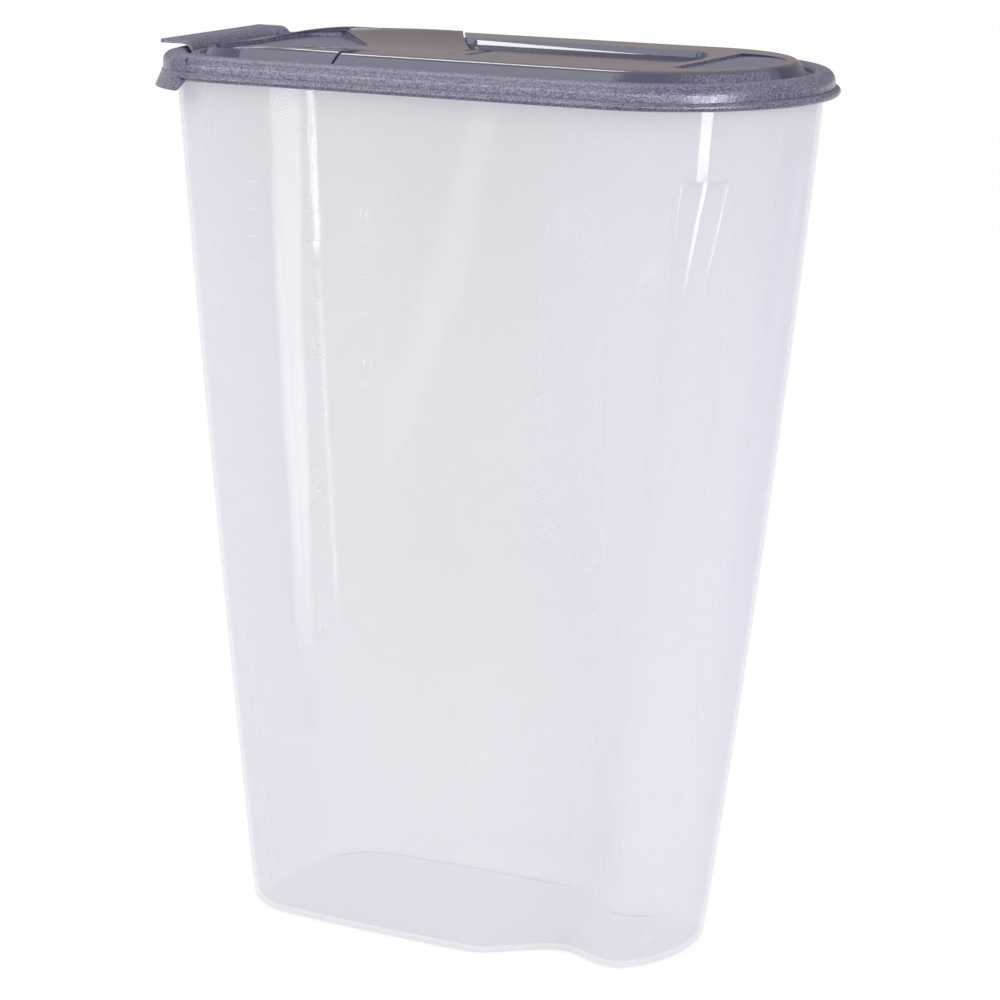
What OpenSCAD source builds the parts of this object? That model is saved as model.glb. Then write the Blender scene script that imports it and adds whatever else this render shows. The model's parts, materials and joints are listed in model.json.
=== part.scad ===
// Tall kitchen keeper for dry food: a tapered container, a press-on lid and a
// flap over the pour opening in the lid. Millimetres, +Z up, base on Z = 0.
// X runs from the pour end (-X) to the rounded grip end (+X).

/* [Container] */
// Height of the container up to its rim
body_h = 306; // [220:1:400]
// Length of the mouth, outside
top_l = 228.7; // [190:0.1:300]
// Width of the mouth, outside
top_w = 100.5; // [90:0.1:130]
// Length of the base, outside
base_l = 166; // [130:0.1:220]
// Width of the base, outside
base_w = 85; // [70:0.1:100]
// How far the middle of the base lies nearer the pour end than that of the mouth
base_shift = 7; // [0:0.1:14]
// Corner radius of the pour end at the mouth
top_corner_r = 31; // [22:0.5:42]
// Corner radius of the pour end at the base
base_corner_r = 23; // [14:0.5:32]
// Length of the rounded grip end at the base
base_nose = 32.6; // [24:0.1:42]
// Outward bow of the two tapered ends, as a share of the taper
taper_bow = 0.2; // [0:0.01:0.4]
// Inward bow of the base at its two ends, as a share of its width
base_bow = 0.1; // [0:0.01:0.2]
// Wall of the container
wall = 1.5; // [1:0.1:2.5]
// Thickness of the container's floor
floor_t = 2.2; // [1.6:0.1:4]
// Radius of the edge round the base
foot_r = 3; // [2:0.1:5]
// Width of the foot ring that the container stands on
foot_w = 3; // [2:0.1:6]
// Height of the upright collar under the rim
collar_h = 8; // [6:0.5:16]
// How far the rim bead stands out of the collar
bead_out = 1.4; // [0.8:0.1:1.8]
// Height of the rim bead
bead_h = 3; // [1.5:0.1:5]
// Distance of the rim bead below the rim
bead_drop = 1.2; // [0.8:0.1:2]
// Height of the foot ring
foot_step = 0.8; // [0.4:0.1:1.2]

/* [Grip] */
// Depth of the grip flute at the base
flute_depth = 16; // [8:0.1:20]
// Width of the grip flute
flute_w = 60; // [40:1:70]
// Distance of the flute's middle from the middle of the mouth, at the base
flute_x_low = 38; // [25:0.5:50]
// Distance of the flute's middle from the middle of the mouth, at its top
flute_x_high = 53; // [35:0.5:60]
// Height at which the flute has run out
flute_top = 254; // [180:1:280]
// Height of the ledge over the palm facet
facet_high = 276; // [200:1:290]
// Height at which the palm facet ends in a point
facet_low = 153; // [90:1:180]
// Depth of the palm facet under its ledge
facet_depth = 1.6; // [0.4:0.1:3]

/* [Lid rim] */
// How far the lid's edge stands out over the container's mouth
lid_over = 5.5; // [5:0.1:7]
// Wall of the lid and the flap
lid_t = 1.5; // [1.2:0.1:2]
// Height of the lid's rim band
rim_h = 8.4; // [7.5:0.1:12]
// How far the bottom bead of the rim stands out
rim_bead = 1.8; // [0.8:0.1:2]
// Height of the bottom bead of the rim
rim_bead_h = 2.7; // [1.5:0.1:4]
// Rounding over the rim's outer edge
rim_round = 3.8; // [2:0.1:4]
// Depth of the seal wall inside the container's mouth
seal_h = 6.5; // [4:0.1:8]
// Gap between lid and container where they slide together
fit_gap = 0.55; // [0.4:0.05:0.8]
// Drop of the lift tab below the rim
tab_drop = 3.4; // [2:0.1:8]
// How far the lift tab flares out
tab_flare = 2.2; // [1:0.1:4]
// How far back the lift tab reaches along the sides
tab_reach = 25; // [14:0.5:30]
// How far the rim's face lies forward of its band over the lift tab
tab_out = 1.2; // [0.6:0.1:1.6]

/* [Lid top] */
// Drop of the deck behind the rim's crest
deck_drop = 2.3; // [1.5:0.1:4]
// Inset of the raised panel's foot from the lid's edge
panel_inset = 10.4; // [9.6:0.1:14]
// Width of the slope round the raised panel
panel_slope = 4; // [2:0.1:6]
// Rounding along the top edges of the raised panel and the flap
edge_round = 2.2; // [0.8:0.1:2.6]
// Rise of the raised panel over the deck
panel_rise = 5.3; // [4.5:0.1:8]
// Width of the band round the raised panel's recess
band_w = 15.6; // [10:0.1:20]
// Depth of the recess in the raised panel
recess_d = 2.2; // [1:0.1:2.4]
// Distance of the recess's round end from the lid's edge
recess_end = 46; // [36:1:60]
// Radius of the recess's round end
recess_r = 32; // [24:0.5:36]
// How far the recess's wall slopes over its depth
recess_run = 1.4; // [0.6:0.1:2.5]
// Depth of the finger dish at the rounded end
dish_d = 1; // [0.4:0.1:1.4]
// Radius of the finger dish
dish_r = 26; // [18:0.5:30]
// Distance of the finger dish's steep edge from the lid's rounded end
dish_x = 42.7; // [36:0.1:50]
// Tilt of the finger dish's floor, in degrees
dish_tilt = 2.2; // [1:0.1:4]

/* [Flap] */
// Distance of the hinge axis from the lid's pour end
hinge_x = 107.4; // [95:0.1:125]
// Width of the hinge neck
neck_w = 16; // [12:0.5:24]
// Radius of the hinge barrel
barrel_r = 2; // [1.8:0.1:2.4]
// Radius of the hinge pins
pin_r = 1.3; // [1:0.05:1.5]
// Length of each hinge pin
pin_l = 3; // [2:0.1:5]
// Radial clearance of the pins in their sockets
pin_gap = 0.06; // [0.03:0.01:0.1]
// Gap between flap and lid where they pass each other
flap_gap = 0.5; // [0.3:0.05:0.8]
// Distance of the flap's side corners from the lid's pour end
flap_side_l = 76.6; // [65:0.1:90]
// Corner radius of the flap's pour end
flap_r = 28; // [20:0.5:34]
// Width of the finger lip
lip_w = 62; // [50:1:70]
// Thickness of the finger lip
lip_t = 1.3; // [1:0.1:1.8]
// Radius of the finger cove under the lip
lip_cove = 3; // [1.5:0.1:3]
// Width of the trough between finger lip and flap
trough_w = 2.2; // [1:0.1:9]
// Radius of the flap's rise along its length
flap_rise_r = 750; // [500:10:1500]
// Distance of the flap's highest line from the hinge axis
flap_high = 27; // [15:1:40]
// Width of the ring round the flap
ring_w = 3.5; // [2.5:0.1:6]
// Depth of the thumb scoop at its point
scoop_d = 3.7; // [3.2:0.1:3.8]
// Distance of the thumb scoop's point from the hinge axis
scoop_back = 43; // [36:0.5:52]
// Width of the lid's seat round the pour opening
seat_w = 4.5; // [3:0.1:7]
// Depth of the flap's plug below the deck
plug_h = 2.8; // [2:0.1:4]

/* [Hidden] */
$fn = 72;
tint = [0.36, 0.36, 0.50, 0.9];
clear = [0.88, 0.88, 0.94, 0.75];
cut = 1;                        // how far a cutter runs past a face

// the mouth, in plan: a flat pour end with round corners and a half-round end
mouth_x0 = -top_l / 2 + tab_flare / 2;
mouth_x1 = top_l / 2 + tab_flare / 2;
mouth_mid = (mouth_x0 + mouth_x1) / 2;
base_x0 = mouth_mid - base_shift - base_l / 2;
base_x1 = mouth_mid - base_shift + base_l / 2;
collar_z = body_h - collar_h;

// the lid's edge is the mouth's outline moved out by lid_over
lid_x0 = mouth_x0 - lid_over;
lid_x1 = mouth_x1 + lid_over;
lid_hw = top_w / 2 + lid_over;
lid_r = top_corner_r + lid_over;

// heights on the lid
crest_z = body_h + lid_t;
skirt_z = crest_z - rim_h;
deck_z = crest_z - deck_drop;
panel_z = deck_z + panel_rise;
recess_z = panel_z - recess_d;
lip_z = panel_z - 0.3;
trough_z = deck_z + lid_t;

rim_in = lid_over + wall + fit_gap + lid_t;     // inner face of the seal wall
seal_out = lid_over + wall + fit_gap;           // outer face of the seal wall
rim_fall = 2;                                   // rounding behind the crest
flap_z = panel_z + 0.5;                         // top of the flap
lip_root = rim_in + 0.95;                       // outer face of the finger lip's foot
trough_x = lip_root + lip_t + trough_w;         // where the flap's raised part starts

// where the flap ends and the fixed panel starts
axis_x = lid_x0 + hinge_x;
axis_z = recess_z - barrel_r;
panel_hw = lid_hw - panel_inset;
vee_x = lid_x0 + flap_side_l;
vee_back = axis_x - 2 * barrel_r - 0.5;
neck_hw = neck_w / 2;
neck_run = 10;                                  // how far the neck reaches under the flap
notch_x = axis_x + barrel_r + 2;                // far side of the notch for the neck
hinge_floor = axis_z - barrel_r - 0.4;          // floor under the hinge barrel

// ---------- the container's section at any height ----------

CORNER_STEPS = 9;
SIDE_STEPS = 14;
NOSE_STEPS = 4;
FACET_STEPS = 4;
TIP_STEPS = 7;

function mix(a, b, t) = a + (b - a) * t;
function clamp01(t) = min(1, max(0, t));
function bowed(t) = t + taper_bow * t * (1 - t);
function taper_t(z) = clamp01(z / collar_z);
function x_front(t, e) = mix(base_x0, mouth_x0, bowed(t)) + e;
function x_rear(t, e) = mix(base_x1, mouth_x1, bowed(t)) - e;
function half_w(t, e) = mix(base_w, top_w, t) / 2 - e;
function corner_r(t, e) = mix(base_corner_r, top_corner_r, t) - e;
function nose_l(t, e) = mix(base_nose, top_w / 2, t) - e;

// depth of the grip flute at one place on the side
function flute_x(z) = mouth_mid + mix(flute_x_low, flute_x_high, clamp01(z / flute_top));
function flute_at(x, z) =
    let (s = (x - flute_x(z)) / (flute_w / 2))
    abs(s) >= 1 ? 0 : flute_depth * max(0, 1 - z / flute_top) * (1 + cos(180 * s)) / 2;

// the base narrows a little toward its two ends
function bow_at(x, t, e) =
    let (mid = (x_front(t, e) + x_rear(t, e)) / 2 - 5, half = (x_rear(t, e) - x_front(t, e)) / 2)
    1 - base_bow * (1 - t) * pow((x - mid) / half, 2);

function on_side(x, y, z, t, e) = [x, y * bow_at(x, t, e) - flute_at(x, z)];

// a point of the rounded end, by its angle from the tip
function nose_pt(a, z, t, e) =
    let (x = x_rear(t, e) - nose_l(t, e) * (1 - cos(a)), y = half_w(t, e) * sin(a))
    a <= 0 ? [x, 0] : on_side(x, y, z, t, e);

// the palm facet: the two angles between which the rounded end is cut flat
function facet_a(z, base_a, low_a, high_a) =
    z < facet_low ? mix(base_a, low_a, z / facet_low)
    : mix(low_a, high_a, clamp01((z - facet_low) / (facet_high - facet_low)));
function facet_in(z) = facet_a(z, 63, 66, 57);
function facet_out(z) = facet_a(z, 55, 62, 40);

function facet_cut(z) = facet_depth * (z - facet_low) / (facet_high - facet_low);

// half of the outline, from the pour end's corner to the tip of the rounded end
function half_ring(z, e) =
    let (t = taper_t(z), r = corner_r(t, e), x0 = x_front(t, e), hw = half_w(t, e),
         x1 = x_rear(t, e) - nose_l(t, e), a_in = facet_in(z), a_out = facet_out(z),
         p_in = nose_pt(a_in, z, t, e), p_out = nose_pt(a_out, z, t, e),
         flat = z >= facet_low && z < facet_high)
    concat(
        [for (i = [0:CORNER_STEPS - 1]) let (a = 90 * i / CORNER_STEPS)
            on_side(x0 + r * (1 - cos(a)), hw - r + r * sin(a), z, t, e)],
        [for (i = [0:SIDE_STEPS]) on_side(mix(x0 + r, x1, i / SIDE_STEPS), hw, z, t, e)],
        [for (i = [1:NOSE_STEPS]) nose_pt(mix(90, a_in, i / NOSE_STEPS), z, t, e)],
        [for (i = [1:FACET_STEPS]) let (s = i / FACET_STEPS)
            flat ? mix(p_in, p_out, s) - facet_cut(z) * 4 * s * (1 - s) * [0.7, 0.7]
                 : nose_pt(mix(a_in, a_out, s), z, t, e)],
        [for (i = [1:TIP_STEPS]) nose_pt(mix(a_out, 0, i / TIP_STEPS), z, t, e)]
    );

// the whole outline, once round
function ring(z, e) =
    let (h = half_ring(z, e), n = len(h))
    concat(h, [for (i = [1:n - 1]) [h[n - 1 - i][0], -h[n - 1 - i][1]]]);

// a closed skin through stacked outlines, each given as [height, inset]
module loft(levels) {
    rings = [for (l = levels) ring(l[0], l[1])];
    n = len(rings[0]);
    m = len(levels);
    points = [for (k = [0:m - 1]) for (p = rings[k]) [p[0], p[1], levels[k][0]]];
    sides = [for (k = [0:m - 2]) for (i = [0:n - 1])
        let (j = (i + 1) % n, a = k * n + i, b = k * n + j, c = a + n, d = b + n)
        each [[a, b, d], [a, d, c]]];
    first = [for (i = [n - 1:-1:0]) i];
    last = [for (i = [0:n - 1]) (m - 1) * n + i];
    polyhedron(points, concat([first], [last], sides), convexity = 6);
}

side_levels = [27, 52, 78, 103, 128, facet_low, 177, 201, 226, 242, flute_top, 266,
               facet_high - 0.3, facet_high, 287];

// the path of the skin: under the foot, up the outside, over the rim, down the inside
function outside() = concat(
    [[foot_step, foot_r + foot_w], [0, foot_r + foot_w]],
    [for (a = [0:30:90]) [foot_r * (1 - cos(a)), foot_r * (1 - sin(a))]],
    [for (z = side_levels) [z, 0]],
    [[collar_z, 0], [body_h - bead_drop - bead_h, 0], [body_h - bead_drop - bead_h, -bead_out],
     [body_h - bead_drop, -bead_out], [body_h - bead_drop, 0], [body_h, 0]]);
function inside() =
    let (r = foot_r - wall / 2)
    concat(
        [[body_h, wall], [collar_z, wall]],
        [for (i = [len(side_levels) - 1:-1:0]) [side_levels[i], wall]],
        [for (a = [90:-45:0]) [floor_t + r * (1 - cos(a)), wall + r * (1 - sin(a))]]);

// ---------- outlines with a flat pour end and a half-round end ----------

// a flat outline from x0 to x1, hw to either side, with corners of radius r at x0
module d_shape(x0, x1, hw, r) {
    translate([x1 - hw, 0]) circle(hw);
    translate([x0 + r, -hw]) square([x1 - hw - x0 - r, 2 * hw]);
    for (s = [-1, 1]) translate([x0 + r, s * (hw - r)]) circle(r);
    translate([x0, r - hw]) square([r, 2 * (hw - r)]);
}

// a profile drawn as [distance out from that outline, height], taken once round it
module d_sweep(x0, x1, hw, r) {
    translate([x1 - hw, 0, 0]) rotate([0, 0, -90])
        rotate_extrude(angle = 180) translate([hw, 0]) children();
    for (s = [0, 1])
        translate([x0 + r, (1 - 2 * s) * (hw - r), 0]) rotate([0, 0, 90 + 90 * s])
            rotate_extrude(angle = 90) translate([r, 0]) children();
    d_run([x0 + r, hw, 0], 90, x1 - hw - x0 - r) children();
    d_run([x1 - hw, -hw, 0], -90, x1 - hw - x0 - r) children();
    d_run([x0, r - hw, 0], 180, 2 * (hw - r)) children();
}

module d_run(start, turn, length) {
    translate(start) rotate([0, 0, turn]) rotate([90, 0, 0])
        linear_extrude(height = length) children();
}

// the lid's own outline, moved in by e
module lid_shape(e) {
    d_shape(lid_x0 + e, lid_x1 - e, lid_hw - e, lid_r - e);
}

module rim_sweep() {
    d_sweep(lid_x0, lid_x1, lid_hw, lid_r) children();
}

// the section of a sloping side from height low to top, rounded over at its top edge
module slope_section(low, top, run) {
    h = top - low;
    slant = sqrt(h * h + run * run);
    x = -(edge_round * slant + run * (h - edge_round)) / h;
    z = top - edge_round;
    n = edge_round * [h, run] / slant;
    polygon([[0, low], [x + n[0], z + n[1]], [x, z], [x, top], [x - 1, top], [x - 1, low]]);
    translate([x, z]) circle(edge_round, $fn = 24);
}

// a raised block with sloping sides on the outline moved in by e, with corners of radius r
module raised(x0, e, low, top, r) {
    x1 = lid_x1 - e;
    hw = lid_hw - e;
    s = panel_slope + edge_round / 2;
    d_sweep(x0, x1, hw, r) slope_section(low, top, panel_slope);
    translate([0, 0, low]) linear_extrude(height = top - low)
        d_shape(x0 + s, x1 - s, hw - s, r - s);
}

// ---------- container ----------

module container() {
    color(clear) loft(concat(outside(), inside()));
}

// ---------- where flap and fixed panel part ----------

// one side of the parting line, from the panel's side to the hinge neck
function vee_pt(s, dx) =
    let (p = [vee_x, panel_hw + 3], q = [vee_x + 14, 24], w = [vee_back, neck_hw + flap_gap])
    [dx + pow(1 - s, 2) * p[0] + 2 * s * (1 - s) * q[0] + s * s * w[0],
     pow(1 - s, 2) * p[1] + 2 * s * (1 - s) * q[1] + s * s * w[1]];

// everything on the pour end's side of the parting line, which is moved by dx
module pour_side(dx) {
    line = [for (i = [0:8]) vee_pt(i / 8, dx)];
    far = lid_x0 - 20;
    polygon(concat([[far, 80]], [[line[0][0], 80]], line,
                   [for (i = [8:-1:0]) [line[i][0], -line[i][1]]],
                   [[line[0][0], -80]], [[far, -80]]));
}

// the pour opening in the lid, made e smaller all round
module opening_shape(e) {
    x0 = lid_x0 + trough_x + seat_w + e;
    hw = panel_hw - lid_t - seat_w - e;
    intersection() {
        d_shape(x0, x0 + 200, hw, flap_r - lid_t - seat_w - e);
        pour_side(-(flap_gap + lid_t + seat_w + e) * 1.5);
        translate([x0 - 1, -hw]) square([axis_x - barrel_r - seat_w - e - x0, 2 * hw]);
    }
}

// ---------- lid ----------

module rim_profile() {
    difference() {
        union() {
            translate([-rim_in, skirt_z]) square([rim_in - rim_bead, rim_h - rim_round]);
            translate([-rim_in + rim_fall, skirt_z])
                square([rim_in - rim_fall - rim_bead - rim_round, rim_h]);
            translate([-rim_bead - rim_round, crest_z - rim_round]) circle(rim_round, $fn = 24);
            translate([-rim_in + rim_fall, crest_z - rim_fall]) circle(rim_fall, $fn = 24);
            translate([-rim_bead, skirt_z]) square([rim_bead - rim_bead_h / 2, rim_bead_h]);
            translate([-rim_bead_h / 2, skirt_z + rim_bead_h / 2]) circle(rim_bead_h / 2, $fn = 20);
        }
        polygon([[-seal_out, skirt_z - cut], [-rim_bead - lid_t, skirt_z - cut],
                 [-rim_bead - lid_t, body_h - 1.2], [-rim_bead - lid_t - 1.2, body_h],
                 [-seal_out, body_h]]);
        translate([-rim_in - cut, skirt_z - cut])
            square([rim_in - seal_out + 2 * cut, body_h - seal_h - skirt_z + cut]);
    }
}

// the lift tab: a sloping skirt over the pour end and round both corners
module lift_tab() {
    low = skirt_z - tab_drop;
    mid = -rim_bead - lid_t / 2;
    face = tab_out - rim_bead;
    r = rim_round * 0.8;
    bead_z = skirt_z + rim_bead_h;
    end = lid_x0 + tab_reach;
    intersection() {
        rim_sweep() polygon(concat(
            [[face - 1.25 * r, crest_z - 0.55]],
            [for (a = [60:-15:0]) [face - r * (1 - cos(a)), crest_z - 0.4 - r * (1 - sin(a))]],
            [[face, bead_z], [tab_flare, low], [tab_flare - 1.5, low], [mid, skirt_z + 0.6],
             [mid, crest_z - 2.6]]));
        union() {
            translate([0, 80, 0]) rotate([90, 0, 0]) linear_extrude(height = 160)
                polygon([[lid_x0 - 10, low - 5], [end - 6, low - 5], [end, skirt_z],
                         [end - 6, bead_z], [lid_x0 - 10, bead_z]]);
            // over the bead its two ends run out along the corners
            translate([0, 0, bead_z - 1]) linear_extrude(height = rim_h)
                polygon([[lid_x0 - 10, -lid_hw], [lid_x0 + 12, -lid_hw + 8.5],
                         [end, -lid_hw + rim_bead + 1.9], [end, lid_hw - rim_bead - 1.9],
                         [lid_x0 + 12, lid_hw - 8.5], [lid_x0 - 10, lid_hw]]);
        }
    }
}

// the recess in the fixed panel, made e larger and put e lower
module recess(e) {
    hw = panel_hw - panel_slope - band_w;
    x_end = lid_x1 - recess_end;
    low = recess_z - e;
    intersection() {
        translate([lid_x0, 0, 0]) rotate([90, 0, 90]) linear_extrude(height = lid_x1 - lid_x0)
            polygon([[-hw + recess_run - e, low], [hw - recess_run + e, low], [hw + 3 * recess_run + e, low + 4 * recess_d],
                     [-hw - 3 * recess_run - e, low + 4 * recess_d]]);
        union() {
            translate([x_end - recess_r, 0, low])
                cylinder(r1 = recess_r - recess_run + e, r2 = recess_r + 3 * recess_run + e, h = 4 * recess_d);
            translate([lid_x0, -40, low]) cube([x_end - recess_r - lid_x0, 80, 4 * recess_d]);
        }
    }
}

// the finger dish at the rounded end: a tilted half disc, steep toward the middle
module dish(e) {
    translate([lid_x1 - dish_x - e, 0, panel_z - dish_d - e]) rotate([0, -dish_tilt, 0])
        intersection() {
            cylinder(r = dish_r + e, h = 8);
            translate([0, -dish_r - e, -cut]) cube([2 * dish_r, 2 * dish_r + 2 * e, 10]);
        }
}

module panel_hollow() {
    difference() {
        intersection() {
            raised(lid_x0 + panel_inset + 2, panel_inset + lid_t * 1.2, deck_z - lid_t - cut,
                   panel_z - lid_t, flap_r);
            translate([0, 0, deck_z - 10]) linear_extrude(height = 20)
                difference() {
                    translate([lid_x0, -80]) square([lid_x1 - lid_x0, 160]);
                    pour_side(lid_t * 1.5);
                }
        }
        recess(lid_t);
        dish(lid_t);
        hinge_block();
    }
}

// the block that carries the two pin sockets
module hinge_block() {
    hw = neck_hw + flap_gap + pin_l + lid_t;
    translate([vee_back, -hw, hinge_floor - lid_t])
        cube([notch_x + lid_t - vee_back, 2 * hw, recess_z - 0.2 - hinge_floor + lid_t]);
}

module hinge_notch() {
    hw = neck_hw + flap_gap;
    translate([vee_back - neck_run, -hw, hinge_floor])
        cube([notch_x - vee_back + neck_run, 2 * hw, 20]);
    translate([axis_x, -hw - pin_l - 0.3, axis_z]) rotate([-90, 0, 0])
        cylinder(r = pin_r + pin_gap, h = 2 * (hw + pin_l + 0.3));
}

module lid() {
    color(tint) {
        difference() {
            union() {
                rim_sweep() rim_profile();
                translate([0, 0, deck_z - lid_t]) linear_extrude(height = lid_t)
                    lid_shape(rim_in - 0.5);
                intersection() {
                    raised(lid_x0 + panel_inset, panel_inset, deck_z - 0.5, panel_z, flap_r);
                    translate([0, 0, deck_z - 10]) linear_extrude(height = 20)
                        difference() {
                            translate([lid_x0, -80]) square([lid_x1 - lid_x0, 160]);
                            pour_side(0);
                        }
                }
            }
            panel_hollow();
            recess(0);
            dish(0);
            translate([0, 0, deck_z - lid_t - cut]) linear_extrude(height = 4)
                opening_shape(0);
            hinge_notch();
        }
        hinge_sides();
        lift_tab();
    }
}

// walls beside and floor under the hinge neck
module hinge_sides() {
    difference() {
        hinge_block();
        hinge_notch();
    }
}

// ---------- flap ----------

// the thumb scoop in the flap: a rounded vee inside the flap's ring
module scoop(e) {
    apex = axis_x - scoop_back + e;
    r = 9;
    edge = panel_slope + ring_w - e;
    translate([apex, 0, flap_z - scoop_d - e]) rotate([0, -0.6, 0])
        linear_extrude(height = 12)
            intersection() {
                union() {
                    translate([-r, 0]) circle(r);
                    polygon([[-r * 0.3, r * 0.72], [-36, 40 + e], [-60, 40 + e],
                             [-60, -40 - e], [-36, -40 - e], [-r * 0.3, -r * 0.72]]);
                }
                translate([-apex, 0])
                    d_shape(lid_x0 + trough_x + edge, lid_x1, panel_hw - edge, flap_r - edge);
            }
}

// the flap's raised part, made e smaller and put e lower
module flap_form(e) {
    bowl_r = 275;
    difference() {
        intersection() {
            raised(lid_x0 + trough_x + e, panel_inset + e * 1.2, deck_z, flap_z - e, flap_r - e);
            translate([0, 0, deck_z - 10]) linear_extrude(height = 30)
                pour_side(-(flap_gap + e) * 1.5);
            translate([axis_x - flap_high, lid_hw, flap_z - flap_rise_r]) rotate([90, 0, 0])
                cylinder(r = flap_rise_r - e, h = 2 * lid_hw, $fn = 360);
        }
        translate([lid_x0, 0, recess_z - e + bowl_r]) rotate([0, 90, 0])
            cylinder(r = bowl_r, h = lid_x1 - lid_x0, $fn = 360);
        scoop(e);
    }
}

// the finger lip's section: up from the flap's foot, then bent out over the rim
function lip_arc(r, angles) =
    [for (a = angles) [-lip_root + lip_cove + r * cos(a), lip_z - lip_t - lip_cove + r * sin(a)]];

module finger_lip() {
    intersection() {
        rim_sweep() polygon(concat(
            [[2.2, lip_z - lip_t]], lip_arc(lip_cove, [90:15:180]),
            [[-lip_root, deck_z], [-lip_root - lip_t, deck_z]],
            lip_arc(lip_cove + lip_t, [180:-15:90]), [[2.2, lip_z]]));
        translate([lid_x0 + 0.2, -lip_w / 2, deck_z - 5]) cube([40, lip_w, 20]);
    }
}

module flap_neck() {
    x0 = vee_back - neck_run;
    translate([x0, -neck_hw, axis_z - 0.6]) cube([axis_x - x0, neck_w, barrel_r + 0.6]);
    translate([axis_x, -neck_hw, axis_z]) rotate([-90, 0, 0]) cylinder(r = barrel_r, h = neck_w);
    translate([axis_x, -neck_hw - pin_l, axis_z]) rotate([-90, 0, 0])
        cylinder(r = pin_r, h = neck_w + 2 * pin_l);
}

// the ring under the flap that closes the pour opening
module flap_plug() {
    intersection() {
        translate([0, 0, deck_z - plug_h]) linear_extrude(height = plug_h + 8)
            difference() {
                opening_shape(flap_gap);
                opening_shape(flap_gap + lid_t);
            }
        union() {
            flap_form(0.5);
            translate([lid_x0, -60, deck_z - plug_h]) cube([200, 120, plug_h + 0.2]);
        }
    }
}

module flip_door() {
    color(tint) {
        difference() {
            flap_form(0);
            translate([0, 0, -0.01]) flap_form(lid_t);
        }
        intersection() {
            translate([0, 0, deck_z]) linear_extrude(height = lid_t)
                difference() {
                    lid_shape(panel_inset);
                    d_shape(lid_x0 + trough_x + lid_t, lid_x1, panel_hw - lid_t, flap_r - lid_t);
                }
            translate([0, 0, deck_z - 10]) linear_extrude(height = 30)
                pour_side(-flap_gap * 1.5);
        }
        finger_lip();
        flap_plug();
        flap_neck();
    }
}

container();
lid();
flip_door();
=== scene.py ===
"""Looks of a tall dry-food keeper: frosted container, smoke-tinted lid and flap."""
import json
import math

import bpy
import numpy as np
from mathutils import Matrix, Vector

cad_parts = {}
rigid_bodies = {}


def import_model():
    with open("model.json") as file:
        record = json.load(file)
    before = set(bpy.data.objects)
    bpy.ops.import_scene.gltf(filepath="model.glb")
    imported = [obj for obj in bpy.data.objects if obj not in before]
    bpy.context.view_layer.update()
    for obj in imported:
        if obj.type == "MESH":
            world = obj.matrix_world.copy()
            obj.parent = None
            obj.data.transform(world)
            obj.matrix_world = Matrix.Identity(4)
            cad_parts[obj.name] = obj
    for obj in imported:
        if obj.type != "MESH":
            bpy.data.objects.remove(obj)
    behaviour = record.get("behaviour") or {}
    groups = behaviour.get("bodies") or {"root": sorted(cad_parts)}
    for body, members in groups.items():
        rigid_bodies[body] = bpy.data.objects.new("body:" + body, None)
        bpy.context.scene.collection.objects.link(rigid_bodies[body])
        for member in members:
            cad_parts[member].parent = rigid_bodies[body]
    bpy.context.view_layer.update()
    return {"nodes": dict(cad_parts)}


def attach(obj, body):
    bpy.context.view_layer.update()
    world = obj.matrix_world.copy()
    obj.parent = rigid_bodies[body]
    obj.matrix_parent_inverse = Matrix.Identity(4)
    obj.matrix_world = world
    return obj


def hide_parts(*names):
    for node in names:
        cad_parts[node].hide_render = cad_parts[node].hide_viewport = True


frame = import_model()
nodes = frame["nodes"]
MM = 0.001


# ---------------------------------------------------------------- shader maths
class Signal:
    """A socket that can be used in Python expressions."""

    def __init__(self, graph, socket):
        self.graph, self.socket = graph, socket

    def maths(self, operation, *values, **settings):
        return self.graph.node("ShaderNodeMath", dict(operation=operation, **settings),
                               dict(enumerate(values)))

    def __add__(self, other):
        return self.maths("ADD", self, other)

    def __sub__(self, other):
        return self.maths("SUBTRACT", self, other)

    def __rsub__(self, other):
        return self.maths("SUBTRACT", other, self)

    def __mul__(self, other):
        return self.maths("MULTIPLY", self, other)

    def __truediv__(self, other):
        return self.maths("DIVIDE", self, other)

    def __pow__(self, other):
        return self.maths("POWER", self, other)

    __radd__, __rmul__ = __add__, __mul__

    def over(self, low, high):
        """0 below low, 1 above high, smooth between."""
        return self.graph.node("ShaderNodeMapRange", dict(interpolation_type="SMOOTHSTEP"),
                               {"Value": self, "From Min": low, "From Max": high})

    def within(self, low, high, soft):
        return self.over(low - soft, low + soft) * (1 - self.over(high - soft, high + soft))

    def abs(self):
        return self.maths("ABSOLUTE", self)

    def reach(self, other):
        """Distance from 0 of a place with these two coordinates."""
        return (self * self + other * other) ** 0.5

    def least(self, other):
        return self.maths("MINIMUM", self, other)

    def most(self, other):
        return self.maths("MAXIMUM", self, other)


class Graph:
    """One node tree, filled by one method."""

    def __init__(self, tree):
        self.tree = tree
        tree.nodes.clear()

    def node(self, kind, settings=None, values=None, out=0):
        made = self.tree.nodes.new(kind)
        for name, value in (settings or {}).items():
            setattr(made, name, value)
        for name, value in (values or {}).items():
            self.feed(made.inputs[name], value)
        if out is None:
            return made
        return Signal(self, made.outputs[out])

    def part(self, vector, axis):
        """One coordinate of a vector."""
        split = self.node("ShaderNodeSeparateXYZ", None, {0: vector}, out=None)
        return Signal(self, split.outputs[axis])

    def feed(self, socket, value):
        if isinstance(value, Signal):
            self.tree.links.new(value.socket, socket)
        elif isinstance(value, tuple) and socket.type == "RGBA" and len(value) == 3:
            socket.default_value = (*value, 1)
        else:
            socket.default_value = value


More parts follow.
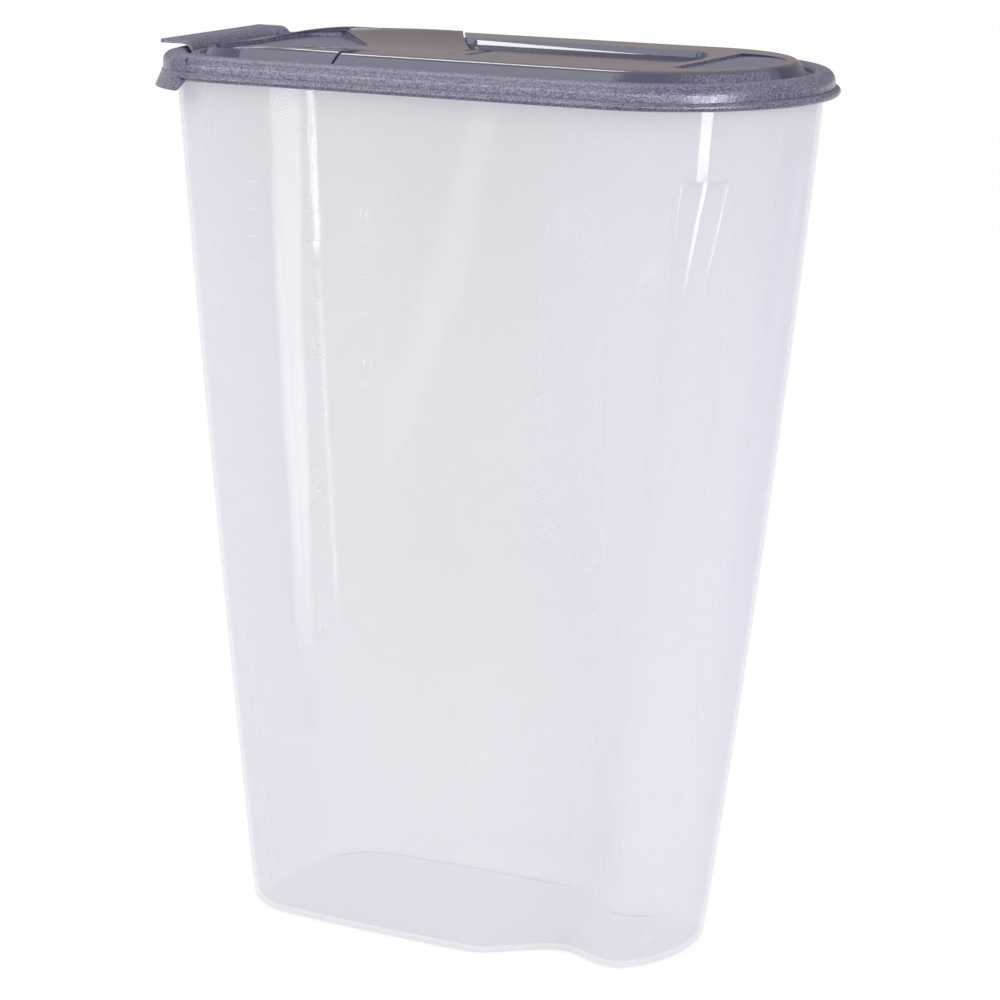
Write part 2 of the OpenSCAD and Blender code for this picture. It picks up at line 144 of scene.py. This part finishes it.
class Finish(Graph):
    """A material with one Principled shader."""

    def __init__(self, name):
        self.material = bpy.data.materials.new(name)
        self.material.use_nodes = True
        super().__init__(self.material.node_tree)
        self.place = self.node("ShaderNodeTexCoord", out="Object")
        self.x, self.y, self.z = (self.part(self.place, i) for i in range(3))

    def noise(self, scale, detail=2.0, roughness=0.5, stretch=None):
        vector = self.place
        if stretch:
            vector = self.node("ShaderNodeMapping", None, {"Vector": self.place, "Scale": stretch})
        values = {"Vector": vector, "Scale": scale, "Detail": detail, "Roughness": roughness}
        return self.node("ShaderNodeTexNoise", None, values)

    def colour(self, factor, low, high):
        made = self.node("ShaderNodeMix", dict(data_type="RGBA"), {0: factor}, out=None)
        self.feed(made.inputs[6], low)
        self.feed(made.inputs[7], high)
        return Signal(self, made.outputs[2])

    def inside(self, x0, x1, hw, r):
        """How far a place lies inside an outline with a round-cornered and a half-round end."""
        front = r - (x0 + r - self.x).most(0).reach((self.y.abs() - (hw - r)).most(0))
        return front.least(hw - (self.x - (x1 - hw)).most(0).reach(self.y))

    def facing(self):
        """How far the surface faces up, from -1 to 1."""
        normal = self.node("ShaderNodeNewGeometry", out="Normal")
        return self.part(normal, 2)

    def bump(self, height, distance, strength=1.0, normal=None):
        values = {"Height": height, "Distance": distance, "Strength": strength}
        if normal:
            values["Normal"] = normal
        return self.node("ShaderNodeBump", None, values)

    def principled(self, **values):
        shader = self.node("ShaderNodeBsdfPrincipled", None,
                           {k.replace("_", " "): v for k, v in values.items()})
        self.node("ShaderNodeOutputMaterial", None, {"Surface": shader}, out=None)
        return self.material


# ---------------------------------------------------------------- the container's sizes, in mm
MOUTH = dict(x0=-113.25, x1=115.45, w=100.5, corner=31.0, nose=50.25)
BASE = dict(x0=-88.9, x1=77.1, w=85.0, corner=23.0, nose=32.6)
BODY_H, COLLAR_H, WALL, FLOOR_T, FOOT_R, FOOT_W = 306.0, 8.0, 1.5, 2.2, 3.0, 3.0
TAPER_BOW, BASE_BOW = 0.2, 0.1
FLUTE_DEPTH, FLUTE_W, FLUTE_TOP = 16.0, 60.0, 254.0
FLUTE_LOW, FLUTE_HIGH, MOUTH_MID = 38.0, 53.0, 1.1
FACET_LOW, FACET_HIGH, FACET_DEPTH = 153.0, 276.0, 1.6
BEAD_OUT, BEAD_H, BEAD_DROP, FOOT_STEP = 1.4, 3.0, 1.2, 0.8
# the same for the lid and the flap, in metres
LID = dict(x0=-0.11875, x1=0.12095, hw=0.05575, corner=0.0365)
FLAP = dict(x0=-0.10525, x1=0.11055, hw=0.04535, corner=0.028)
DISH = dict(x=0.07825, r=0.026)


def mix(a, b, t):
    return a + (b - a) * t


def outline(z, inset):
    """One level of the container, once round, as an array of x and y in mm."""
    t = min(1.0, max(0.0, z / (BODY_H - COLLAR_H)))
    bowed = t + TAPER_BOW * t * (1 - t)
    x0 = mix(BASE["x0"], MOUTH["x0"], bowed) + inset
    x1 = mix(BASE["x1"], MOUTH["x1"], bowed) - inset
    hw = mix(BASE["w"], MOUTH["w"], t) / 2 - inset
    r = mix(BASE["corner"], MOUTH["corner"], t) - inset
    nose = mix(BASE["nose"], MOUTH["nose"], t) - inset
    mid, half = (x0 + x1) / 2 - 5, (x1 - x0) / 2

    def side(x, y):
        """Narrows the side by the base's bow and the grip flute."""
        s = (x - MOUTH_MID - mix(FLUTE_LOW, FLUTE_HIGH, min(1, z / FLUTE_TOP))) / (FLUTE_W / 2)
        wave = np.where(abs(s) < 1, (1 + np.cos(np.pi * s)) / 2, 0)
        return np.stack([x, y * (1 - BASE_BOW * (1 - t) * ((x - mid) / half) ** 2)
                         - FLUTE_DEPTH * max(0, 1 - z / FLUTE_TOP) * wave], 1)

    def end(degrees):
        a = np.radians(degrees)
        return side(x1 - nose * (1 - np.cos(a)), hw * np.sin(a))

    if z < FACET_LOW:
        a_in, a_out = (mix(63, 66, z / FACET_LOW), mix(55, 62, z / FACET_LOW))
    else:
        up = min(1, (z - FACET_LOW) / (FACET_HIGH - FACET_LOW))
        a_in, a_out = mix(66, 57, up), mix(62, 40, up)
    a = np.radians(np.linspace(0, 90, 22, endpoint=False))
    corner = side(x0 + r * (1 - np.cos(a)), hw - r + r * np.sin(a))
    xs = np.linspace(x0 + r, x1 - nose, 76)
    long_side = side(xs, np.full(76, hw))
    lead = end(np.linspace(90, a_in, 19)[1:])
    s = np.linspace(0, 1, 13)[1:, None]
    if FACET_LOW <= z < FACET_HIGH:
        cut = FACET_DEPTH * (z - FACET_LOW) / (FACET_HIGH - FACET_LOW) * 4 * s * (1 - s)
        palm = mix(end(np.array([a_in])), end(np.array([a_out])), s) - cut * 0.7
    else:
        palm = end(np.linspace(a_in, a_out, 13)[1:])
    tip = end(np.linspace(a_out, 0, 33)[1:])
    tip[-1, 1] = 0
    half_ring = np.concatenate([corner, long_side, lead, palm, tip])
    return np.concatenate([half_ring, half_ring[-2::-1] * [1, -1]])


def skin_path():
    """(height, inset) from the middle of the underside, over the rim, to that of the floor."""
    facet = {FACET_LOW, FACET_HIGH - 0.4, FACET_HIGH}
    sides = sorted(set(np.linspace(8, 290, 95).round(2)) | facet)
    foot = [(FOOT_STEP, FOOT_R + FOOT_W + 0.5), (FOOT_STEP * 0.5, FOOT_R + FOOT_W),
            (0.0, FOOT_R + FOOT_W - 0.5)]
    foot += [(FOOT_R * (1 - math.cos(a)), FOOT_R * (1 - math.sin(a)))
             for a in np.radians(np.linspace(0, 90, 9))]
    low, high = BODY_H - BEAD_DROP - BEAD_H, BODY_H - BEAD_DROP
    bead = [(low - 0.5, 0), (low, BEAD_OUT * 0.5), (low + 0.2, BEAD_OUT - 0.2),
            (low + 0.6, BEAD_OUT), (high - 0.6, BEAD_OUT), (high - 0.1, BEAD_OUT - 0.3),
            (high, BEAD_OUT * 0.5),
            (high + 0.2, 0.1), (BODY_H - 0.15, 0.0), (BODY_H, -0.25)]
    r = FOOT_R - WALL / 2
    inner = [(BODY_H, WALL - 0.3), (BODY_H - 0.3, WALL), (BODY_H - COLLAR_H, WALL)]
    inner += [(z, WALL) for z in sides[::-2]]
    inner += [(FLOOR_T + r * (1 - math.cos(a)), WALL + r * (1 - math.sin(a)))
              for a in np.radians(np.linspace(90, 0, 7))]
    return (foot + [(z, 0.0) for z in sides] + [(BODY_H - COLLAR_H, 0.0)]
            + [(z, -out) for z, out in bead] + inner)


def closed_skin(name, rings, lows, highs):
    """A closed mesh through stacked rings of equal length, with a fan over each end."""
    count, n = len(rings), len(rings[0])
    points = np.concatenate([*rings, lows, highs])
    step = np.arange(n)
    after = (step + 1) % n
    faces = []
    for k in range(count - 1):
        a, b = k * n, (k + 1) * n
        faces += list(zip(a + after, a + step, b + step, b + after))
    def cap(ring, extra, flip):
        """Shrinking rings and a centre point."""
        made, at = [], ring
        for start in extra[:-1]:
            made += list(zip(at + step, at + after, start + after, start + step))
            at = start
        made += [(at + i, at + j, extra[-1]) for i, j in zip(step, after)]
        return [face[::-1] for face in made] if flip else made
    base = count * n
    low_starts = [base + i * n for i in range(len(lows) // n)] + [base + len(lows) - 1]
    base += len(lows)
    high_starts = [base + i * n for i in range(len(highs) // n)] + [base + len(highs) - 1]
    faces += cap(0, low_starts, False)
    faces += cap((count - 1) * n, high_starts, True)
    mesh = bpy.data.meshes.new(name)
    mesh.from_pydata((points * MM).tolist(), [], [tuple(int(i) for i in f) for f in faces])
    mesh.update()
    mesh.shade_smooth()
    mesh.set_sharp_from_angle(angle=math.radians(38))
    piece = bpy.data.objects.new(name, mesh)
    bpy.context.scene.collection.objects.link(piece)
    return piece


def container_shell():
    path = skin_path()
    rings = []
    for z, inset in path:
        flat = outline(z, inset)
        rings.append(np.column_stack([flat, np.full(len(flat), z)]))
    middle = np.array([-6.0, 0.0])

    def fan(ring, z):
        out = [np.column_stack([middle + (ring[:, :2] - middle) * s, np.full(len(ring), z)])
               for s in (0.75, 0.5, 0.25)]
        return np.concatenate([*out, [[*middle, z]]])

    shell = closed_skin("container_shell", rings, fan(rings[0], FOOT_STEP), fan(rings[-1], FLOOR_T))
    shell.data.materials.append(clear_frosted())
    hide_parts("container")
    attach(shell, "container")
    return shell


# ---------------------------------------------------------------- printed scale
class Layout(Graph):
    """A geometry node tree whose inputs have names and defaults."""

    def __init__(self, name, **inputs):
        self.group = bpy.data.node_groups.new(name, "GeometryNodeTree")
        super().__init__(self.group)
        self.ids = {}
        for label, value in inputs.items():
            kind = "NodeSocketInt" if isinstance(value, int) else "NodeSocketFloat"
            made = self.group.interface.new_socket(label, in_out="INPUT", socket_type=kind)
            made.default_value = value
            self.ids[label] = made.identifier
        self.group.interface.new_socket("Mesh", in_out="OUTPUT", socket_type="NodeSocketGeometry")
        start = self.node("NodeGroupInput", out=None)
        self.given = {label: Signal(self, start.outputs[label]) for label in inputs}

    def close(self, mesh, material):
        real = self.node("GeometryNodeRealizeInstances", None, {"Geometry": mesh})
        done = self.node("GeometryNodeSetMaterial", None, {"Geometry": real, "Material": material})
        self.node("NodeGroupOutput", None, {"Mesh": done}, out=None)

    def mesh(self, **values):
        """The tree's mesh with these inputs."""
        holder = bpy.data.objects.new("holder", bpy.data.meshes.new("holder"))
        bpy.context.scene.collection.objects.link(holder)
        modifier = holder.modifiers.new("layout", "NODES")
        modifier.node_group = self.group
        for label, value in values.items():
            modifier[self.ids[label]] = value
        seen = holder.evaluated_get(bpy.context.evaluated_depsgraph_get())
        made = bpy.data.meshes.new_from_object(seen)
        holder.modifiers.remove(modifier)
        bpy.data.objects.remove(holder)
        return made


def tick_ladder(material):
    """A column of level ticks, every so many of them longer."""
    g = Layout("tick_ladder", Count=10, Step=0.01, Width=0.006, Thickness=0.0005, Long=5)
    rung = g.node("GeometryNodeMeshCube", None, {"Size": g.node(
        "ShaderNodeCombineXYZ", None, {0: g.given["Width"], 1: 0.00004, 2: g.given["Thickness"]})})
    rise = g.node("ShaderNodeCombineXYZ", None, {2: g.given["Step"] * -1.0})
    line = g.node("GeometryNodeMeshLine", dict(mode="OFFSET"),
                  {"Count": g.given["Count"], "Offset": rise})
    turn = g.node("GeometryNodeInputIndex").maths("MODULO", g.node("GeometryNodeInputIndex"),
                                                  g.given["Long"])
    longer = 1.0 + 0.7 * turn.maths("COMPARE", turn, 0.0, 0.1)
    size = g.node("ShaderNodeCombineXYZ", None, {0: longer, 1: 1.0, 2: 1.0})
    rungs = g.node("GeometryNodeInstanceOnPoints", None,
                   {"Points": line, "Instance": rung, "Scale": size})
    g.close(rungs, material)
    return g


def side_y(x, z):
    """How far out the long side lies at one place, in mm."""
    t = min(1.0, max(0.0, z / (BODY_H - COLLAR_H)))
    bowed = t + TAPER_BOW * t * (1 - t)
    x0, x1 = mix(BASE["x0"], MOUTH["x0"], bowed), mix(BASE["x1"], MOUTH["x1"], bowed)
    s = (x - (x0 + x1) / 2 + 5) / ((x1 - x0) / 2)
    return mix(BASE["w"], MOUTH["w"], t) / 2 * (1 - BASE_BOW * (1 - t) * s * s)


def numeral(number, size):
    """A plain printed number, flat in X and Z."""
    curve = bpy.data.curves.new("numeral", "FONT")
    curve.body, curve.size, curve.align_x, curve.align_y = str(number), size, "CENTER", "CENTER"
    curve.resolution_u, curve.extrude = 3, 0.00002
    holder = bpy.data.objects.new("numeral", curve)
    bpy.context.scene.collection.objects.link(holder)
    holder.rotation_euler = (math.radians(90), 0, 0)
    graph = bpy.context.evaluated_depsgraph_get()
    graph.update()
    made = bpy.data.meshes.new_from_object(holder.evaluated_get(graph))
    made.transform(Matrix.Rotation(math.radians(90), 4, "X"))
    bpy.data.objects.remove(holder)
    return made


def printed_scale():
    """Three columns of marks on the near side, laid on its slight taper."""
    ink = white_ink()
    ladder = tick_ladder(ink)
    columns = [(16, 0.0100, 0.0046, 5, -45.0, 257.4), (5, 0.0095, 0.0032, 5, -69.5, 266.0),
               (5, 0.0125, 0.0030, 4, -25.5, 249.0)]
    parts = [(ladder.mesh(Count=count, Step=step, Width=width, Thickness=0.0004, Long=long), x, z)
             for count, step, width, long, x, z in columns]
    parts += [(numeral(4 - i, 0.0058), -46.0, 261.4 - 50 * i) for i in range(4)]
    parts += [(numeral(16 - 4 * i, 0.0052), -24.5, 258.0 - 50 * i) for i in range(2)]
    points, faces = [], []
    for mesh, x, z in parts:
        start = len(points)
        for v in mesh.vertices:
            px, pz = v.co.x / MM + x, v.co.z / MM + z
            points.append((px * MM, (-side_y(px, pz) - 0.06) * MM + v.co.y, pz * MM))
        faces += [[start + i for i in face.vertices] for face in mesh.polygons]
        bpy.data.meshes.remove(mesh)
    mesh = bpy.data.meshes.new("printed_scale")
    mesh.from_pydata(points, [], faces)
    mesh.update()
    piece = bpy.data.objects.new("printed_scale", mesh)
    bpy.context.scene.collection.objects.link(piece)
    mesh.materials.append(ink)
    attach(piece, "container")
    return piece


# ---------------------------------------------------------------- materials
def white_ink():
    """Thin white print that has worn a little."""
    f = Finish("white_ink")
    wear = f.noise(420, 3, 0.7)
    blot = f.noise(60, 2)
    return f.principled(Base_Color=f.colour(blot, (0.90, 0.90, 0.92), (0.96, 0.96, 0.96)),
                        Roughness=0.55 + 0.2 * wear, IOR=1.5,
                        Alpha=0.16 + 0.26 * wear.over(0.35, 0.6),
                        Normal=f.bump(wear, 0.00002, 0.3))


def clear_frosted():
    """Clear polypropylene with a faint frost, and a stippled hold in each grip flute."""
    f = Finish("clear_frosted")
    ripple = f.noise(30, 2, stretch=(1, 1, 0.3))
    frost = f.noise(9, 3)
    # the hold: a tall round-topped field that follows the flute's slant
    across = (f.x - 0.0391 - f.z * 0.06) / 0.0125
    up = ((f.z - 0.250).most(0) / 0.018).reach(across)
    hold = (1 - up.over(0.88, 1.12)) * f.z.over(0.10, 0.17) * f.y.abs().over(0.018, 0.022)
    pips = f.noise(1500, 2, 0.6)
    normal = f.bump(ripple, 0.0002, 0.5)
    normal = f.bump(pips * hold, 0.00012, 0.6, normal)
    edge = f.node("ShaderNodeLayerWeight", None, {"Blend": 0.35}, out="Facing")
    # the floor, seen at a low angle, stays as clear as the walls
    edge = edge ** 2 * (0.35 + 0.65 * f.z.over(0.003, 0.012))
    alpha = 0.24 + 0.42 * edge + 0.05 * frost + (0.03 + 0.08 * (pips - 0.5)) * hold
    colour = f.colour(frost, (0.755, 0.742, 0.815), (0.804, 0.791, 0.860))
    # painted light: bluer toward the nose end, as the clear wall looks where it turns away from the
    # view
    colour = f.colour(f.x.over(0.03, 0.08) * 0.75, colour, (0.832, 0.824, 0.965))
    # painted light: lighter toward the bottom, to offset the floor's shadow seen through the walls
    colour = f.colour((1 - f.z.over(0.004, 0.15)) * 0.8, colour, (0.885, 0.877, 0.955))
    # painted light: paler and bluer toward the pour end, as the clear wall looks where it turns
    # away from the view
    colour = f.colour((1 - f.x.over(-0.100, -0.055)) * 0.9, colour, (0.90, 0.886, 0.975))
    return f.principled(Base_Color=colour,
                        Roughness=0.02 + 0.02 * frost + 0.3 * hold, IOR=1.49, Normal=normal,
                        Alpha=alpha)


def smoke_body(f, stipple, crown=None):
    """Smoke-blue tinted plastic: glossy, with a painted reflection that follows which way it faces,
    and grained where stipple is 1.
    """
    grain = f.noise(1900, 2, 0.7)
    coarse = f.noise(700, 2, 0.6)
    swirl = f.noise(26, 2, stretch=(0.4, 1.6, 1))
    up = f.facing().over(0.35, 0.95)
    # painted reflection and shade: the glossy colour is brownish grey where the surface faces up
    # and dark indigo on steep walls
    gloss_with_painted_reflection = f.colour(up, (0.050, 0.052, 0.140), (0.105, 0.092, 0.110))
    gloss_with_painted_reflection = f.colour(swirl.over(0.45, 0.75) * 0.3, gloss_with_painted_reflection, (0.13, 0.12, 0.16))
    rough = f.colour(grain.over(0.38, 0.62) * 0.8 + coarse.over(0.3, 0.7) * 0.2,
                     (0.034, 0.029, 0.078), (0.238, 0.222, 0.320))
    normal = f.bump(grain * stipple, 0.00011, 0.9)
    if crown:
        normal = f.bump(crown, 1.0, 1.0, normal)
    return f.principled(Base_Color=f.colour(stipple, gloss_with_painted_reflection, rough),
                        Roughness=0.07 + 0.05 * swirl + (0.14 + 0.26 * up) * stipple, IOR=1.5,
                        Normal=normal, Alpha=0.93 + 0.05 * stipple)


def smoke_lid():
    """Grained on the rim and round the finger dish, glossy on the raised panel."""
    f = Finish("smoke_lid")
    rim = 1 - f.inside(LID["x0"], LID["x1"], LID["hw"], LID["corner"]).over(0.0100, 0.0104)
    dish = (f.x.over(0.0778, 0.0784) * f.z.over(0.3060, 0.3065)
            * (1 - (f.x - DISH["x"]).reach(f.y).over(DISH["r"] - 0.0006, DISH["r"] - 0.0001)))
    side = (f.x.over(0.080, 0.094) * f.y.abs().over(0.008, 0.014)
            * (1 - f.z.over(0.3092, 0.3100)) * (1 - rim))
    # the foot of the recess's long walls is rounded, by less and less toward their far end
    top = 0.30975 - (f.x + 0.021) * 0.022
    foot = (top - f.z).most(0).least(0.0016) * 0.45 * f.y.abs().within(0.0232, 0.0265, 0.0002)
    return smoke_body(f, rim.most(dish).most(side), foot * f.x.within(-0.024, 0.042, 0.001))


def smoke_flap():
    """Grained on the finger lip, in the thumb scoop and on the near parts of its ring."""
    f = Finish("smoke_flap")
    ring = f.inside(FLAP["x0"], FLAP["x1"], FLAP["hw"], FLAP["corner"])
    lip = (1 - ring.over(-0.0006, -0.0002)) * (1 - f.x.over(-0.094, -0.090))
    scoop = (ring.over(0.0064, 0.0070) * (1 - f.z.over(0.30815, 0.3084))
             * (1 - f.x.over(-0.0560, -0.0545)))
    return smoke_body(f, lip.most(scoop))


# ---------------------------------------------------------------- stage
WHITE = (1.0, 1.0, 1.0)
LID_TOP = (0.0, 0.0, 0.309)
BODY_MID = (0, 0, 0.15)


def backdrop():
    """White to the camera and in reflections, plain ambient light for the rest."""
    world = bpy.data.worlds.new("studio")
    bpy.context.scene.world = world
    world.use_nodes = True
    g = Graph(world.node_tree)
    path = g.node("ShaderNodeLightPath", out=None)
    seen = Signal(g, path.outputs["Is Camera Ray"]).most(Signal(g, path.outputs["Is Glossy Ray"]))
    seen = seen.most(Signal(g, path.outputs["Is Transmission Ray"]))
    light = g.node("ShaderNodeBackground", None, {"Color": WHITE, "Strength": 0.75 + 0.25 * seen})
    g.node("ShaderNodeOutputWorld", None, {"Surface": light}, out=None)


def pale_floor():
    mesh = bpy.data.meshes.new("floor")
    s = 4.0
    mesh.from_pydata([(-s, -s, -0.0003), (s, -s, -0.0003), (s, s, -0.0003), (-s, s, -0.0003)], [],
                     [(0, 1, 2, 3)])
    floor = bpy.data.objects.new("floor", mesh)
    bpy.context.scene.collection.objects.link(floor)
    material = bpy.data.materials.new("floor")
    material.use_nodes = True
    g = Graph(material.node_tree)
    path = g.node("ShaderNodeLightPath", out=None)
    seen = Signal(g, path.outputs["Is Camera Ray"])
    for ray in ("Is Glossy Ray", "Is Transmission Ray"):
        seen = seen.most(Signal(g, path.outputs[ray]))
    matt = g.node("ShaderNodeBsdfDiffuse", None, {"Color": (0.8, 0.8, 0.8)})
    glow = g.node("ShaderNodeEmission", None, {"Color": WHITE, "Strength": 1.13})
    both = g.node("ShaderNodeMixShader", None, {0: 0.72 * seen, 1: matt, 2: glow})
    g.node("ShaderNodeOutputMaterial", None, {"Surface": both}, out=None)
    mesh.materials.append(material)
    floor.visible_glossy = False


def card(name, middle, size, colour, strength, aim=LID_TOP, roll=0.0, fade=None):
    """A glowing card that only reflections show, as a studio hangs them round glossy things.

    With fade, its light comes in over that length from its lower end."""
    mesh = bpy.data.meshes.new(name)
    w, h = size[0] / 2, size[1] / 2
    mesh.from_pydata([(-w, -h, 0), (w, -h, 0), (w, h, 0), (-w, h, 0)], [], [(0, 1, 2, 3)])
    made = bpy.data.objects.new(name, mesh)
    bpy.context.scene.collection.objects.link(made)
    made.location = middle
    turn = (Vector(aim) - Vector(middle)).to_track_quat("-Z", "Y").to_matrix().to_4x4()
    made.rotation_euler = (turn @ Matrix.Rotation(math.radians(roll), 4, "Z")).to_euler()
    material = bpy.data.materials.new(name)
    material.use_nodes = True
    g = Graph(material.node_tree)
    if fade:
        place = g.node("ShaderNodeTexCoord", out="Object")
        strength = strength * g.part(place, 1).over(-h, -h + fade)
    glow = g.node("ShaderNodeEmission", None, {"Color": colour, "Strength": strength})
    g.node("ShaderNodeOutputMaterial", None, {"Surface": glow}, out=None)
    mesh.materials.append(material)
    made.visible_camera = made.visible_diffuse = made.visible_shadow = False
    made.visible_transmission = made.visible_volume_scatter = False


def softbox(name, place, aim, size, power, colour=WHITE):
    light = bpy.data.lights.new(name, "AREA")
    light.shape = "RECTANGLE"
    light.size, light.size_y = size
    light.energy, light.color = power, colour
    lamp = bpy.data.objects.new(name, light)
    bpy.context.scene.collection.objects.link(lamp)
    lamp.location = place
    lamp.rotation_euler = (Vector(aim) - Vector(place)).to_track_quat("-Z", "Y").to_euler()
    lamp.visible_camera = False
    return lamp


def camera():
    """At a fitted place in front, a little above and to the right of the container."""
    azimuth, elevation, roll = math.radians(29.44), math.radians(13.27), math.radians(0.16)
    back = Vector((math.sin(azimuth) * math.cos(elevation),
                   -math.cos(azimuth) * math.cos(elevation), math.sin(elevation)))
    data = bpy.data.cameras.new("camera")
    data.sensor_width, data.lens = 36.0, 123.9
    data.clip_start, data.clip_end = 0.05, 50
    cam = bpy.data.objects.new("camera", data)
    bpy.context.scene.collection.objects.link(cam)
    right = Vector((math.cos(azimuth), math.sin(azimuth), 0))
    up = back.cross(right)
    turn = Matrix((right, up, back)).transposed().to_4x4()
    cam.matrix_world = (Matrix.Translation(Vector((0.23, 0, 152.7)) * MM + back * 1.2052) @ turn
                        @ Matrix.Rotation(roll, 4, "Z"))
    bpy.context.scene.camera = cam


def studio():
    bpy.context.scene.view_settings.view_transform = "Standard"
    backdrop()
    pale_floor()
    card("dark_card", (-0.78, 1.39, 0.86), (3.4, 1.12), (0.42, 0.37, 0.37), 1.0, (-0.78, 0.0, 0.86))
    card("bright_card", (-0.73, 0.22, 1.60), (0.42, 0.42), WHITE, 14.0)
    # low, so that the lid's flat top doesn't mirror them when it is seen from behind
    card("sheen_left", (-0.95, -1.44, 0.43), (1.6, 0.13), WHITE, 22.0)
    card("sheen_right", (0.65, -1.60, 0.43), (1.4, 0.13), WHITE, 28.0)
    softbox("key", (-0.9, -1.3, 1.5), BODY_MID, (1.2, 1.2), 12)
    softbox("fill", (1.5, -0.6, 0.9), BODY_MID, (0.8, 1.2), 8)
    card("rim_glow", (0.90, -0.62, 0.29), (0.24, 0.20), WHITE, 52.0, (0.09, -0.03, 0.29))
    # two upright strips that show as bright lines down the container
    card("strip_left", (-0.321, -0.44, 0.148), (0.014, 0.508), WHITE, 7.5, (-0.05, -0.05, 0.148),
         roll=-6.0, fade=0.13)
    card("strip_right", (0.90, -0.62, 0.045), (0.15, 0.27), WHITE, 20.0, (0.09, -0.03, 0.045),
         fade=0.09)
    camera()


container_shell()
printed_scale()
for name, finish in (("lid", smoke_lid), ("flip_door", smoke_flap)):
    nodes[name].data.materials.clear()
    nodes[name].data.materials.append(finish())
studio()
